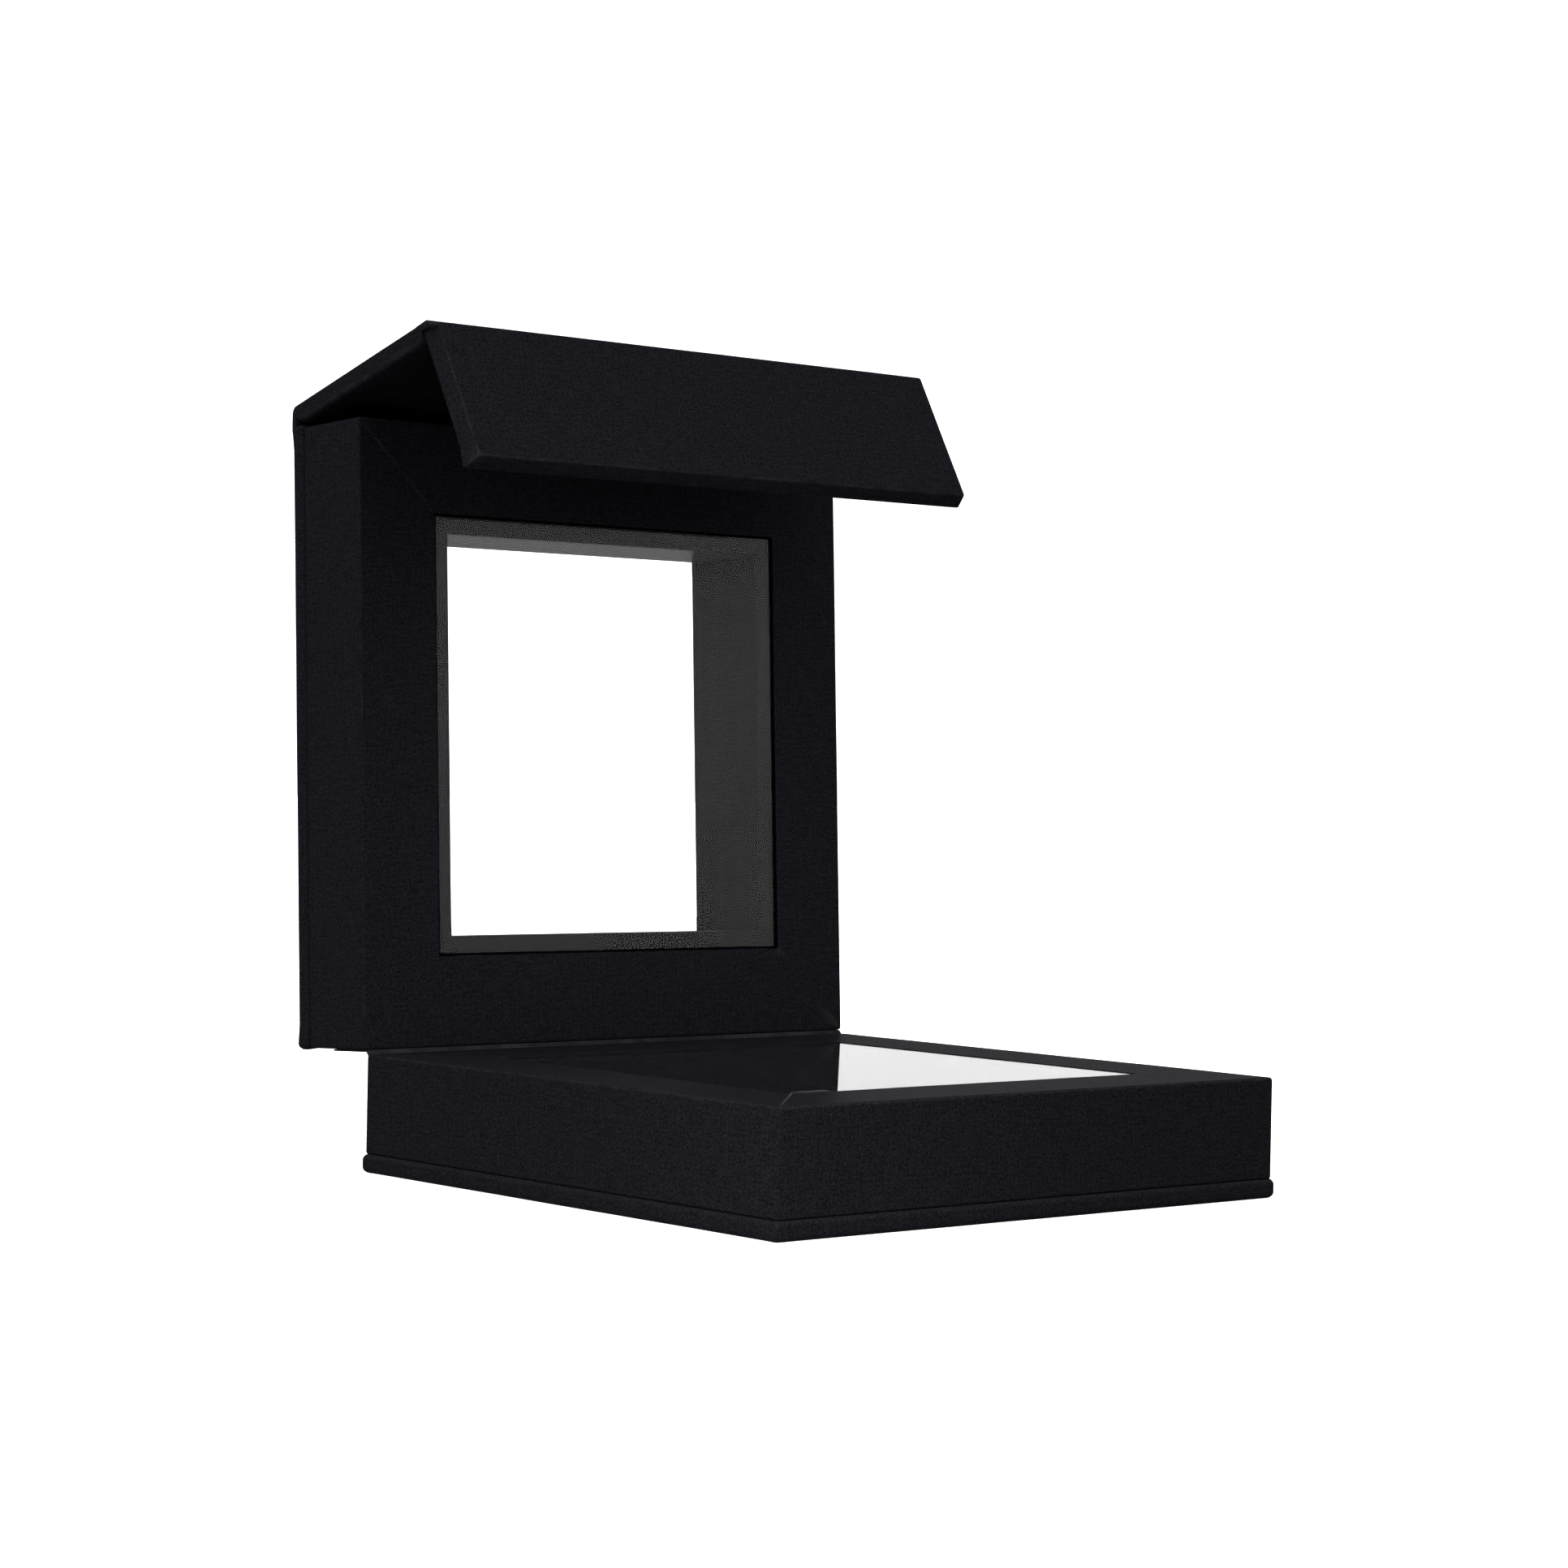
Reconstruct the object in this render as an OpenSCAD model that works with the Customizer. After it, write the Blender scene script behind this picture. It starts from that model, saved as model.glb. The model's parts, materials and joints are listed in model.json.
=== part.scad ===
// Floating display frame: two cloth-covered halves, each with a clear film stretched across its
// window, joined by a cloth hinge and shut by a two-panel magnetic flap.
// Drawn as it stands open: the base lies flat and the lid stands up behind it.

/* [Case] */
// Width of each half along the hinge
frame_w = 100; // [80:1:160]
// Height of each half from the hinge side to the closing side
frame_h = 100; // [80:1:160]
// Depth of each half from its outer cover to its mating face
half_d = 18.6; // [14:0.2:30]
// Width of the face around its window
face_margin = 14.7; // [13:0.1:24]
// Width of the face card that shows through the film inside the window
lip_w = 2.9; // [1.5:0.1:5]
// Radius of the upright outer edges
edge_r = 0.5; // [0.4:0.1:1]

/* [Boards] */
// Thickness of the cover boards
cover_board_t = 2.5; // [2:0.1:4]
// How far the covers stand out past the walls
cover_overhang = 0.4; // [0.2:0.1:1.5]
// Thickness of the side walls
wall_t = 2.5; // [1.5:0.1:4]
// Thickness of the face card that the film is stretched over
face_card_t = 0.8; // [0.5:0.1:1.5]
// Thickness of the window liner strips
liner_t = 1; // [0.5:0.1:2]

/* [Cloth and film] */
// Thickness of the covering cloth
cloth_t = 0.35; // [0.2:0.05:0.5]
// Thickness of the clear film
film_t = 0.2; // [0.1:0.05:0.4]

/* [Hinge] */
// Opening angle of the lid, from shut
lid_open = 92.9; // [60:0.1:120]
// Gap between the two faces when shut
closed_gap = 0.2; // [0.1:0.1:1]
// Depth of each bend line below its face
hinge_drop = 0.35; // [0.3:0.05:1]
// Radius of the rounded cloth at the bend lines of the hinge
hinge_bead_r = 0.25; // [0.15:0.05:0.3]
// Height of the hinge leaf glued to each half
hinge_leaf_h = 9; // [4:0.5:10]
// How far the hinge cloth stays inside the sides of the case
hinge_inset = 0.4; // [0.3:0.1:8]

/* [Flap] */
// Turn of the spine panel from flat with the lid's cover
spine_turn = 77.5; // [0:0.5:90]
// Turn of the closing panel from flat with the spine panel
closing_turn = 76; // [0:0.5:90]
// Length of the closing panel from its bend line to its free edge
closing_len = 24; // [20:0.5:40]
// Thickness of the boards in the flap
flap_board_t = 2; // [1.8:0.1:3]
// How far the flap stands out past the walls at each side
flap_overhang = 0.5; // [0:0.1:2]
// Gap between the wrapped flap and the edge of a cover
flap_clear = 0.3; // [0.2:0.1:1]
// Spare length of the spine panel when the case is shut
spine_slack = 1; // [0.2:0.1:2]

/* [Magnets] */
// Diameter of the disc magnets
magnet_d = 8; // [5:0.5:10]
// Thickness of the disc magnets
magnet_t = 1.5; // [1:0.1:1.8]
// Distance between the two magnets of a pair
magnet_spacing = 60; // [30:1:64]

/* [Hidden] */
// Clearances
bead_clear = 0.05;
joint_clear = 0.1;
magnet_clear = 0.05;
// Overcut that carries a cut past a face
cut = 1;

// Levels in a half, measured up from its outer cover
cover_top = cloth_t + cover_board_t;
film_top = half_d - cloth_t;
card_top = film_top - film_t;
card_under = card_top - face_card_t;

// Sizes across a half
cover_w = frame_w + 2 * cover_overhang;
cover_front = -frame_h - cover_overhang;
window_w = frame_w - 2 * face_margin;
window_h = frame_h - 2 * face_margin;
clear_w = window_w - 2 * lip_w;
clear_h = window_h - 2 * lip_w;
liner_w = clear_w + 2 * liner_t;
liner_h = clear_h + 2 * liner_t;

// Hinge: two bend lines with a strip of cloth between them
hinge_w = frame_w - 2 * hinge_inset;
hinge_back = hinge_bead_r + bead_clear;
hinge_strip_w = closed_gap + 2 * hinge_drop;
bend_z = half_d - hinge_drop;
leaf_top = bend_z - hinge_bead_r - bead_clear;

// Flap: panels measured from their bend lines
flap_w = frame_w + 2 * flap_overhang;
flap_t = flap_board_t + 2 * cloth_t;
joint_bead_r = cloth_t;
joint_reach = flap_clear + flap_t - joint_bead_r;
panel_start = joint_bead_r + joint_clear;
flap_axis_y = cover_front - joint_reach;
fold_s = 2 * half_d + closed_gap + spine_slack + flap_t - 2 * joint_bead_r;
spine_end = fold_s - joint_reach;
lining_z = flap_t - joint_bead_r - cloth_t;

// Magnets: a pair in the closing panel meets a pair in the base's cover board when shut
magnet_s = (panel_start + closing_len) / 2;
magnet_y = flap_axis_y + magnet_s;
pocket_d = magnet_d + 2 * magnet_clear;

// The case is centred front to back as it stands open
lid_mid_y = hinge_back + hinge_strip_w * sin(lid_open / 2);
lid_mid_z = bend_z + hinge_strip_w * cos(lid_open / 2);
function lid_y(y, z) = lid_mid_y + (y - hinge_back) * cos(lid_open) + (bend_z - z) * sin(lid_open);
function lid_z(y, z) = lid_mid_z - (y - hinge_back) * sin(lid_open) + (bend_z - z) * cos(lid_open);
rear_y = max(lid_y(flap_axis_y, joint_bead_r) + joint_bead_r, lid_y(0, 0));
case_y = -(cover_front + rear_y) / 2;

// Bend lines as they stand in the open case
flap_axis = [lid_y(flap_axis_y, joint_bead_r) + case_y, lid_z(flap_axis_y, joint_bead_r)];
spine_lean = lid_open - spine_turn;
fold_axis = flap_axis + fold_s * [-cos(spine_lean), sin(spine_lean)];
echo(hinge_lower_bend = [hinge_back + case_y, bend_z]);
echo(hinge_upper_bend = [lid_mid_y + case_y, lid_mid_z]);
echo(flap_axis = flap_axis, fold_axis = fold_axis);

cloth_colour = [0.10, 0.10, 0.11];
liner_colour = [0.22, 0.22, 0.23];
board_colour = [0.48, 0.46, 0.43];
film_colour = [0.82, 0.86, 0.88, 0.3];
magnet_colour = [0.72, 0.72, 0.74];

// A box centred across the case, from y0 to y1 and z0 to z1
module slab(w, y0, y1, z0, z1) {
    translate([-w / 2, y0, z0]) cube([w, y1 - y0, z1 - z0]);
}

// The same box with its four upright edges rounded
module rounded_slab(w, y0, y1, z0, z1, r) {
    translate([0, 0, z0]) linear_extrude(z1 - z0) {
        translate([-w / 2 + r, y0]) square([w - 2 * r, y1 - y0]);
        translate([-w / 2, y0 + r]) square([w, y1 - y0 - 2 * r]);
        for (x = [-w / 2 + r, w / 2 - r], y = [y0 + r, y1 - r])
            translate([x, y]) circle(r, $fn = 48);
    }
}

// A block around the middle of the window
module window_block(w, h, z0, z1) {
    slab(w, (-frame_h - h) / 2, (-frame_h + h) / 2, z0, z1);
}

// Where the bodies stand
module base_place() translate([0, case_y, 0]) children();
module strip_place() base_place() translate([0, hinge_back, bend_z]) rotate([-lid_open / 2, 0, 0]) children();
module lid_place() {
    strip_place() translate([0, 0, hinge_strip_w]) rotate([-lid_open / 2, 0, 0])
        translate([0, -hinge_back, bend_z]) mirror([0, 0, 1]) children();
}
module spine_place() {
    lid_place() translate([0, flap_axis_y, joint_bead_r]) rotate([-spine_turn, 0, 0]) children();
}
module closing_place() spine_place() translate([0, -fold_s, 0]) rotate([-closing_turn, 0, 0]) children();

// Pieces that both halves share, with the cover down and the hinge side at y = 0
module magnet_pair(y, z0, z1, d) {
    for (side = [-1, 1])
        translate([side * magnet_spacing / 2, y, z0]) cylinder(h = z1 - z0, r = d / 2, $fn = 64);
}

module cover_board_shape() {
    difference() {
        slab(cover_w - 2 * cloth_t, cover_front + cloth_t, -cloth_t, cloth_t, cover_top);
        window_block(liner_w + 2 * cloth_t, liner_h + 2 * cloth_t, 0, cover_top + cut);
    }
}

module cover_cloth_shape() {
    difference() {
        rounded_slab(cover_w, cover_front, 0, 0, cover_top, edge_r);
        difference() {
            slab(cover_w - 2 * cloth_t, cover_front + cloth_t, -cloth_t, cloth_t, cover_top + cut);
            window_block(liner_w + 2 * cloth_t, liner_h + 2 * cloth_t, 0, cover_top + 2 * cut);
        }
        window_block(liner_w, liner_h, -cut, cover_top + cut);
    }
}

module side_wall(side) {
    middle = side * (frame_w / 2 - cloth_t - wall_t / 2);
    translate([middle, 0, 0]) slab(wall_t, -frame_h + cloth_t, -cloth_t, cover_top, card_under);
}

module end_wall(y0) {
    slab(frame_w - 2 * cloth_t - 2 * wall_t, y0, y0 + wall_t, cover_top, card_under);
}
module front_wall() end_wall(-frame_h + cloth_t);
module rear_wall() end_wall(-cloth_t - wall_t);

// The inside of the frame cloth between two levels
module inside_cloth(z0, z1) slab(frame_w - 2 * cloth_t, -frame_h + cloth_t, -cloth_t, z0, z1);

module face_card_shape() {
    difference() {
        inside_cloth(card_under, card_top);
        window_block(clear_w, clear_h, card_under - cut, card_top + cut);
    }
}

module film_shape() inside_cloth(card_top, film_top);

module frame_cloth_shape() {
    difference() {
        rounded_slab(frame_w, -frame_h, 0, cover_top, half_d, edge_r);
        inside_cloth(cover_top - cut, film_top);
        window_block(window_w, window_h, cover_top, half_d + cut);
    }
}

module side_liner(side) {
    translate([side * (clear_w + liner_t) / 2, 0, 0])
        window_block(liner_t, liner_h, 0, card_under);
}

module end_liner(side) {
    translate([0, side * (clear_h + liner_t) / 2, 0])
        window_block(clear_w, liner_t, 0, card_under);
}

module hinge_leaf_shape() slab(hinge_w, 0, cloth_t, leaf_top - hinge_leaf_h, leaf_top);

module bead(w, r) translate([-w / 2, 0, 0]) rotate([0, 90, 0]) cylinder(h = w, r = r, $fn = 48);

// A flap panel's cloth, wrapped round the outside and the edges of its board
module panel_cloth(from, to) {
    difference() {
        slab(flap_w, -to, -from, -joint_bead_r, flap_t - joint_bead_r);
        slab(flap_w - 2 * cloth_t, -to + cloth_t, -from - cloth_t, cloth_t - joint_bead_r, flap_t);
    }
}

module panel_layer(from, to, z0, z1) slab(flap_w - 2 * cloth_t, -to + cloth_t, -from - cloth_t, z0, z1);
module panel_board(from, to) {
    panel_layer(from, to, cloth_t - joint_bead_r, lining_z);
}
module panel_lining(from, to) {
    panel_layer(from, to, lining_z, lining_z + cloth_t);
}

// Base
module base_cover_board() {
    color(board_colour) base_place() difference() {
        cover_board_shape();
        magnet_pair(magnet_y, 0, cloth_t + magnet_t + magnet_clear, pocket_d);
    }
}
module base_magnets() {
    color(magnet_colour) base_place() magnet_pair(magnet_y, cloth_t, cloth_t + magnet_t, magnet_d);
}
module base_cover_cloth() color(cloth_colour) base_place() cover_cloth_shape();
module base_wall_front() color(board_colour) base_place() front_wall();
module base_wall_rear() color(board_colour) base_place() rear_wall();
module base_wall_left() color(board_colour) base_place() side_wall(-1);
module base_wall_right() color(board_colour) base_place() side_wall(1);
module base_face_card() color(liner_colour) base_place() face_card_shape();
module base_frame_cloth() color(cloth_colour) base_place() frame_cloth_shape();
module base_film() color(film_colour) base_place() film_shape();
module base_liner_front() color(liner_colour) base_place() end_liner(-1);
module base_liner_rear() color(liner_colour) base_place() end_liner(1);
module base_liner_left() color(liner_colour) base_place() side_liner(-1);
module base_liner_right() color(liner_colour) base_place() side_liner(1);
module base_hinge_leaf() color(cloth_colour) base_place() hinge_leaf_shape();

// Cloth strip of the hinge, rounded along both bend lines
module hinge_cloth() {
    color(cloth_colour) strip_place() {
        bead(hinge_w, hinge_bead_r);
        translate([0, 0, hinge_strip_w]) bead(hinge_w, hinge_bead_r);
        slab(hinge_w, -cloth_t / 2, cloth_t / 2, 0, hinge_strip_w);
    }
}

// Lid
module lid_cover_board() color(board_colour) lid_place() cover_board_shape();
module lid_cover_cloth() {
    color(cloth_colour) lid_place() {
        cover_cloth_shape();
        slab(cover_w, flap_axis_y, cover_front + cloth_t, 0, cloth_t);
        translate([0, flap_axis_y, joint_bead_r]) bead(cover_w, joint_bead_r);
    }
}
module lid_wall_front() color(board_colour) lid_place() front_wall();
module lid_wall_rear() color(board_colour) lid_place() rear_wall();
module lid_wall_left() color(board_colour) lid_place() side_wall(-1);
module lid_wall_right() color(board_colour) lid_place() side_wall(1);
module lid_face_card() color(liner_colour) lid_place() face_card_shape();
module lid_frame_cloth() color(cloth_colour) lid_place() frame_cloth_shape();
module lid_film() color(film_colour) lid_place() film_shape();
module lid_liner_front() color(liner_colour) lid_place() end_liner(-1);
module lid_liner_rear() color(liner_colour) lid_place() end_liner(1);
module lid_liner_left() color(liner_colour) lid_place() side_liner(-1);
module lid_liner_right() color(liner_colour) lid_place() side_liner(1);
module lid_hinge_leaf() color(cloth_colour) lid_place() hinge_leaf_shape();

// Flap
module spine_board() color(board_colour) spine_place() panel_board(panel_start, spine_end);
module spine_lining() color(cloth_colour) spine_place() panel_lining(panel_start, spine_end);
module spine_cloth() {
    color(cloth_colour) spine_place() {
        panel_cloth(panel_start, spine_end);
        slab(flap_w, -fold_s, -spine_end + cloth_t, -joint_bead_r, cloth_t - joint_bead_r);
        translate([0, -fold_s, 0]) bead(flap_w, joint_bead_r);
    }
}
module closing_board() {
    color(board_colour) closing_place() difference() {
        panel_board(panel_start, closing_len);
        magnet_pair(-magnet_s, lining_z - magnet_t - magnet_clear, flap_t, pocket_d);
    }
}
module closing_cloth() color(cloth_colour) closing_place() panel_cloth(panel_start, closing_len);
module closing_lining() color(cloth_colour) closing_place() panel_lining(panel_start, closing_len);
module closing_magnets() {
    color(magnet_colour) closing_place() magnet_pair(-magnet_s, lining_z - magnet_t, lining_z, magnet_d);
}

base_cover_board();
base_cover_cloth();
base_magnets();
base_wall_front();
base_wall_rear();
base_wall_left();
base_wall_right();
base_face_card();
base_frame_cloth();
base_film();
base_liner_front();
base_liner_rear();
base_liner_left();
base_liner_right();
base_hinge_leaf();
hinge_cloth();
lid_cover_board();
lid_cover_cloth();
lid_wall_front();
lid_wall_rear();
lid_wall_left();
lid_wall_right();
lid_face_card();
lid_frame_cloth();
lid_film();
lid_liner_front();
lid_liner_rear();
lid_liner_left();
lid_liner_right();
lid_hinge_leaf();
spine_board();
spine_cloth();
spine_lining();
closing_board();
closing_cloth();
closing_lining();
closing_magnets();
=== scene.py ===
# %% [markdown]
# # A floating display frame in black bookcloth
# The object is a small case of covered boards. It is open here: one half lies on the table, and the
# other stands up behind it on a cloth hinge. Each half is a shallow box with a window, and a clear
# film is stretched across each window. A flap of two panels folds over the open side and is held
# shut by hidden magnets. The construction model gives every piece its size and its place. This
# lesson adds what makes it look real: cloth pulled round soft edges, seams, folds, film and light.

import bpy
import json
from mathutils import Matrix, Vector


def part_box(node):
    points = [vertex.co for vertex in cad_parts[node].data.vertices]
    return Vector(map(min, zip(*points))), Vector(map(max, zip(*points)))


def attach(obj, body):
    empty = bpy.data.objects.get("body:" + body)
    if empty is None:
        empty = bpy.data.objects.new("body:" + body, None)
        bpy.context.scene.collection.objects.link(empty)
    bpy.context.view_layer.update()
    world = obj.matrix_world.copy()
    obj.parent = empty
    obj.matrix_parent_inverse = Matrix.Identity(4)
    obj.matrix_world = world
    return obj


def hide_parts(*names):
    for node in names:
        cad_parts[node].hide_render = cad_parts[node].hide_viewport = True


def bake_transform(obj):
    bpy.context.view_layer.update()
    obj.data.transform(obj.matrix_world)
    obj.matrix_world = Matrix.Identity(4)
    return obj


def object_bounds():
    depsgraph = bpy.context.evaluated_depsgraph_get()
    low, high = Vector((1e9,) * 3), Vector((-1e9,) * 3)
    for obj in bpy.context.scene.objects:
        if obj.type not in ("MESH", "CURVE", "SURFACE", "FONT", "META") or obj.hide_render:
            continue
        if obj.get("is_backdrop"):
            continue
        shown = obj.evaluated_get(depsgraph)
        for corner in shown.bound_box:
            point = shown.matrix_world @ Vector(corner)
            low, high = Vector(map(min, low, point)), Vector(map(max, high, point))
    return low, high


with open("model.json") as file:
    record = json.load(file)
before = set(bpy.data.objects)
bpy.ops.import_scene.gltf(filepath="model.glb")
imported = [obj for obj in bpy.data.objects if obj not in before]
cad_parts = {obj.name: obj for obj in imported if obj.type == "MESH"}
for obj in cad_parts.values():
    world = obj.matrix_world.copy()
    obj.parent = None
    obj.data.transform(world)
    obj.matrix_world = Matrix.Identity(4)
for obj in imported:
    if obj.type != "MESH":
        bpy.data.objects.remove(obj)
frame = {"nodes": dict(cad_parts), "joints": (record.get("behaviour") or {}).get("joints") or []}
cad_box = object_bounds()

# %% [markdown]
# A bookbinder works in millimetres, so this lesson does too, and turns them into metres only when
# a piece is placed. Most sizes can be read off the construction model. Reading them is better than
# typing them again, because the looks then follow when the construction changes.

# %% Sizes of the case, in millimetres
import functools
import math

import bmesh
import bpy
from mathutils import Matrix, Vector, noise

MM = 0.001


def box_mm(node):
    """Lowest and highest corner of a construction node."""
    low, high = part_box(node)
    return low / MM, high / MM


frame_low, frame_high = box_mm("base_frame_cloth")
cover_high = box_mm("base_cover_cloth")[1]
film_low, film_high = box_mm("base_film")
card_low, card_high = box_mm("base_face_card")
FRAME_W = frame_high.x - frame_low.x
FRAME_H = frame_high.y - frame_low.y
HALF_D = frame_high.z
COVER_TOP = frame_low.z
OVERHANG = cover_high.x - frame_high.x
CLEAR_HALF = box_mm("base_liner_right")[0].x
LIP_W = 2.9
FACE_MARGIN = FRAME_W / 2 - CLEAR_HALF - LIP_W
CLOTH_T = 0.35
print(f"half {FRAME_W:.1f} x {FRAME_H:.1f} x {HALF_D:.1f}, clear window {2 * CLEAR_HALF:.1f}")

# %% [markdown]
# Each half is easiest to draw lying flat: cover down, hinge side at y = 0, window in the middle.
# A matrix then carries the drawing to where that half stands. The lid's matrix is a chain of the
# two bends in the hinge, with a mirror, because the lid lies face down on the base when shut.
# The flap's panels go on from there. The joints hold all the angles, so nothing is guessed.

# %% Where each body stands
joints = {j["name"]: j for j in frame["joints"]}
lower_bend, upper_bend, flap_axis, fold_axis = (
    Vector(joints[name]["pos_m"]) / MM
    for name in ("hinge_lower_bend", "hinge_upper_bend", "flap_hinge", "closing_fold")
)
HALF_OPEN = -joints["hinge_lower_bend"]["range_deg"][0]
SPINE_TURN = joints["flap_hinge"]["range_deg"][1]
CLOSING_TURN = joints["closing_fold"]["range_deg"][1]
STRIP_W = (upper_bend - lower_bend).length
HINGE_BACK = lower_bend.y - frame_high.y
BEND_Z = lower_bend.z
SPINE_LEN = (fold_axis - flap_axis).length
JOINT_R = CLOTH_T
FLAP_T = 2.7
FLAP_CLEAR = 0.3
FLAP_AXIS_Y = -FRAME_H - OVERHANG - FLAP_CLEAR - FLAP_T + JOINT_R
PANEL_START = 0.45
SPINE_END = SPINE_LEN - FLAP_CLEAR - FLAP_T + JOINT_R
CLOSING_END = 24.0


def turned(degrees):
    """A turn about the long direction of the hinge."""
    return Matrix.Rotation(math.radians(degrees), 4, "X")


def shifted(y, z):
    """A move in the plane that the hinge turns in."""
    return Matrix.Translation((0, y, z))


BASE = Matrix.Scale(MM, 4) @ shifted(frame_high.y, 0)
STRIP = BASE @ shifted(HINGE_BACK, BEND_Z) @ turned(-HALF_OPEN)
FACE_DOWN = Matrix.Scale(-1, 4, (0, 0, 1))
LID = STRIP @ shifted(0, STRIP_W) @ turned(-HALF_OPEN) @ shifted(-HINGE_BACK, BEND_Z) @ FACE_DOWN
SPINE = LID @ shifted(FLAP_AXIS_Y, JOINT_R) @ turned(-SPINE_TURN)
CLOSING = SPINE @ shifted(-SPINE_LEN, 0) @ turned(-CLOSING_TURN)
drawn_at = [round(x / MM, 2) for x in SPINE.translation]
print("flap axis drawn at", drawn_at, "and kept at", [round(x, 2) for x in flap_axis])

# %% [markdown]
# The picture was taken from the left, almost level with the middle of the case, with a long lens.
# The camera is set by what a photographer would say: what it points at, how far away it stands,
# from which side, and how far it is tipped. A matrix of three directions then places it.

# %% Camera
AIM = Vector((0.0205, 0.0209, 0.0621))
CAMERA_DISTANCE = 0.6111
CAMERA_AZIMUTH = math.radians(-40.51)
CAMERA_ELEVATION = math.radians(0.31)
CAMERA_ROLL = math.radians(1.1)
CAMERA_LENS = 84.58
CAMERA_SEES = 50


def put(name, data):
    """A new object in the scene."""
    thing = bpy.data.objects.new(name, data)
    bpy.context.scene.collection.objects.link(thing)
    return thing


level = math.cos(CAMERA_ELEVATION)
sideways, forward = math.sin(CAMERA_AZIMUTH) * level, -math.cos(CAMERA_AZIMUTH) * level
back = Vector((sideways, forward, math.sin(CAMERA_ELEVATION)))
right = Vector((0, 0, 1)).cross(back).normalized()
up = back.cross(right)
camera = put("camera", bpy.data.cameras.new("camera"))
camera.data.lens = CAMERA_LENS
camera.data.clip_end = CAMERA_SEES
upright = Matrix((right, up, back)).transposed().to_4x4()
stand = Matrix.Translation(AIM + back * CAMERA_DISTANCE)
camera.matrix_world = stand @ upright @ Matrix.Rotation(CAMERA_ROLL, 4, "Z")
bpy.context.scene.camera = camera
print("camera at", [round(x, 4) for x in camera.location])

# %% [markdown]
# The light and all the finishes are node trees. Wiring nodes by code takes many lines, so a few
# helpers do it. They add a node, feed or fill its sockets, work out a sum, stretch a value and
# start a finish.

# %% Node helpers
def add_node(tree, kind, **settings):
    """A new node with its settings."""
    node = tree.nodes.new(kind)
    for name, value in settings.items():
        setattr(node, name, value)
    return node


def feed(tree, socket, value):
    """Links an output to a socket, or sets a plain number or colour on it."""
    if isinstance(value, bpy.types.NodeSocket):
        tree.links.new(value, socket)
    else:
        socket.default_value = value


def fill(node, values):
    """Sets plain numbers and colours on a node's sockets."""
    for socket, value in values.items():
        node.inputs[socket].default_value = value


def worked_out(tree, operation, a, b=0.0):
    """The result of a Math node."""
    node = add_node(tree, "ShaderNodeMath", operation=operation)
    feed(tree, node.inputs[0], a)
    feed(tree, node.inputs[1], b)
    return node.outputs[0]


def ranged(tree, value, low, high, start=0.0, stop=1.0):
    """A value that runs from start to stop, stretched to run from low to high."""
    node = add_node(tree, "ShaderNodeMapRange")
    feed(tree, node.inputs["Value"], value)
    fill(node, {"From Min": start, "From Max": stop, "To Min": low, "To Max": high})
    return node.outputs["Result"]


def new_finish(name):
    """A node material and its shader."""
    material = bpy.data.materials.new(name)
    material.use_nodes = True
    return material, material.node_tree, material.node_tree.nodes["Principled BSDF"]


print("node helpers ready")

# %% [markdown]
# Black cloth needs a lot of light and a bright room, or it turns into a flat silhouette. The room
# here is a dome. Behind the case it is white, and in front three soft boxes are painted on it:
# overhead, at the left and at the front right. The flap keeps the overhead box off the face below
# it, which falls into shade. Area lamps would do too, but a painted dome has soft edges and gives
# the film something to mirror on every side. The Standard view keeps white as white.

# %% Dome with soft boxes
BACK_LOW = 0.25
BACK_HIGH = 1.15
BACK_FADE_Y = (0.0, 0.5)
BACK_FADE_Z = (-0.6, -0.05)
SOFT_BOXES = (((0, 0, 1), 1.9), ((-1, 0, 0.15), 2.95), ((0.66, -0.66, 0.4), 3.1))
BOX_EDGE = 4.0
BOX_FADE_Z = (-0.35, 0.1)
WHITE = (1, 1, 1, 1)
scene = bpy.context.scene
scene.view_settings.view_transform = "Standard"
scene.world = bpy.data.worlds.new("white_room")
scene.world.use_nodes = True
sky = scene.world.node_tree
looked_at = sky.nodes.new("ShaderNodeTexCoord").outputs["Generated"]
split = sky.nodes.new("ShaderNodeSeparateXYZ")
feed(sky, split.inputs[0], looked_at)
behind = ranged(sky, split.outputs["Y"], 0.0, 1.0, *BACK_FADE_Y)
upper = ranged(sky, split.outputs["Z"], BACK_LOW, BACK_HIGH, *BACK_FADE_Z)
brightness = worked_out(sky, "MULTIPLY", behind, upper)
for way, strength in SOFT_BOXES:
    facing = add_node(sky, "ShaderNodeVectorMath", operation="DOT_PRODUCT")
    feed(sky, facing.inputs[0], looked_at)
    facing.inputs[1].default_value = Vector(way).normalized()
    box = worked_out(sky, "POWER", worked_out(sky, "MAXIMUM", facing.outputs["Value"]), BOX_EDGE)
    above = ranged(sky, split.outputs["Z"], 0.0, strength, *BOX_FADE_Z)
    brightness = worked_out(sky, "ADD", brightness, worked_out(sky, "MULTIPLY", box, above))
room = sky.nodes["Background"]
room.inputs["Color"].default_value = WHITE
feed(sky, room.inputs["Strength"], brightness)
print("soft boxes painted on the dome:", len(SOFT_BOXES))

# %% [markdown]
# The corner nearest to the lens is the lightest part of the real case. A small lamp low down before
# that corner does this. It is hidden from mirrors, so the film doesn't show it.

# %% Lamp for the near corner
LAMP_SPOT = (-0.105, -0.135, 0.02)
LAMP_AIM = Vector((0, -0.02, 0.05))
LAMP_SIZE = 0.12
LAMP_POWER = 0.15
lamp = put("corner_lamp", bpy.data.lights.new("corner_lamp", "AREA"))
lamp.data.energy = LAMP_POWER
lamp.data.size = LAMP_SIZE
lamp.location = LAMP_SPOT
lamp.rotation_euler = (LAMP_AIM - lamp.location).to_track_quat("-Z", "Y").to_euler()
lamp.visible_camera = False
lamp.visible_glossy = False
print("lamp power in watts:", LAMP_POWER)

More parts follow.
